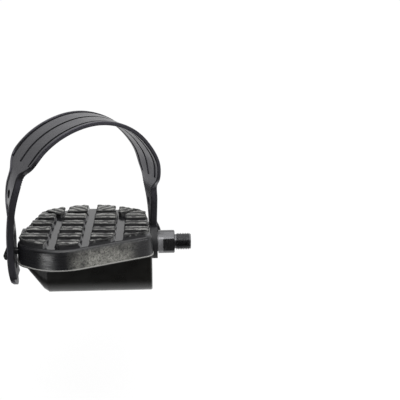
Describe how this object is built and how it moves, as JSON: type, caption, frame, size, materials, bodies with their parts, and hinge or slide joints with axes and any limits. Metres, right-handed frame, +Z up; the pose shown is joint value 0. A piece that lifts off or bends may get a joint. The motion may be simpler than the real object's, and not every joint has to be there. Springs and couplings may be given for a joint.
{
  "type": "exercise bike pedal",
  "caption": "Left exercise bike pedal: blocky tread platform with a weighted belly that keeps it level, turning on a threaded steel spindle, with a wide moulded foot strap hooked over it.",
  "frame": {"origin": "on the spindle axis at the crank seat, where the collar meets the thread", "axes": "+X along the spindle out of its threaded end towards the crank, +Y forwards to the toe edge, +Z up, tread upwards"},
  "size_m": [0.135, 0.0943, 0.1334],
  "materials": {
    "spindle_steel": "black oxide turned steel, satin",
    "race_steel": "hardened ground steel",
    "ball_steel": "polished ball steel",
    "seal_rubber": "soft matte rubber",
    "body_plastic": "satin black moulded plastic, lightly scuffed on the rim",
    "cover_plastic": "smooth black moulded plastic",
    "weight_iron": "rough cast",
    "screw_steel": "zinc plated",
    "strap_pvc": "matte black flexible plastic with a fine grain"
  },
  "bodies": {
    "spindle": {"spindle": "spindle_steel", "outer_cone": "race_steel", "keyed_washer": "race_steel", "lock_nut": "race_steel", "inner_ball_1": "ball_steel", "inner_ball_10": "ball_steel", "inner_ball_11": "ball_steel", "inner_ball_2": "ball_steel", "inner_ball_3": "ball_steel", "inner_ball_4": "ball_steel", "inner_ball_5": "ball_steel", "inner_ball_6": "ball_steel", "inner_ball_7": "ball_steel", "inner_ball_8": "ball_steel", "inner_ball_9": "ball_steel", "outer_ball_1": "ball_steel", "outer_ball_10": "ball_steel", "outer_ball_11": "ball_steel", "outer_ball_2": "ball_steel", "outer_ball_3": "ball_steel", "outer_ball_4": "ball_steel", "outer_ball_5": "ball_steel", "outer_ball_6": "ball_steel", "outer_ball_7": "ball_steel", "outer_ball_8": "ball_steel", "outer_ball_9": "ball_steel"},
    "pedal": {"counterweight": "weight_iron", "cover_screws": "screw_steel", "dust_cap": "body_plastic", "dust_seal": "seal_rubber", "inner_cup": "race_steel", "lower_cover": "cover_plastic", "outer_cup": "race_steel", "platform": "body_plastic", "strap": "strap_pvc"}
  },
  "joints": [
    {"name": "pedal_spin", "type": "hinge", "parent": "spindle", "child": "pedal", "pos_m": [0, 0, 0], "axis": [1, 0, 0], "continuous": true}
  ]
}
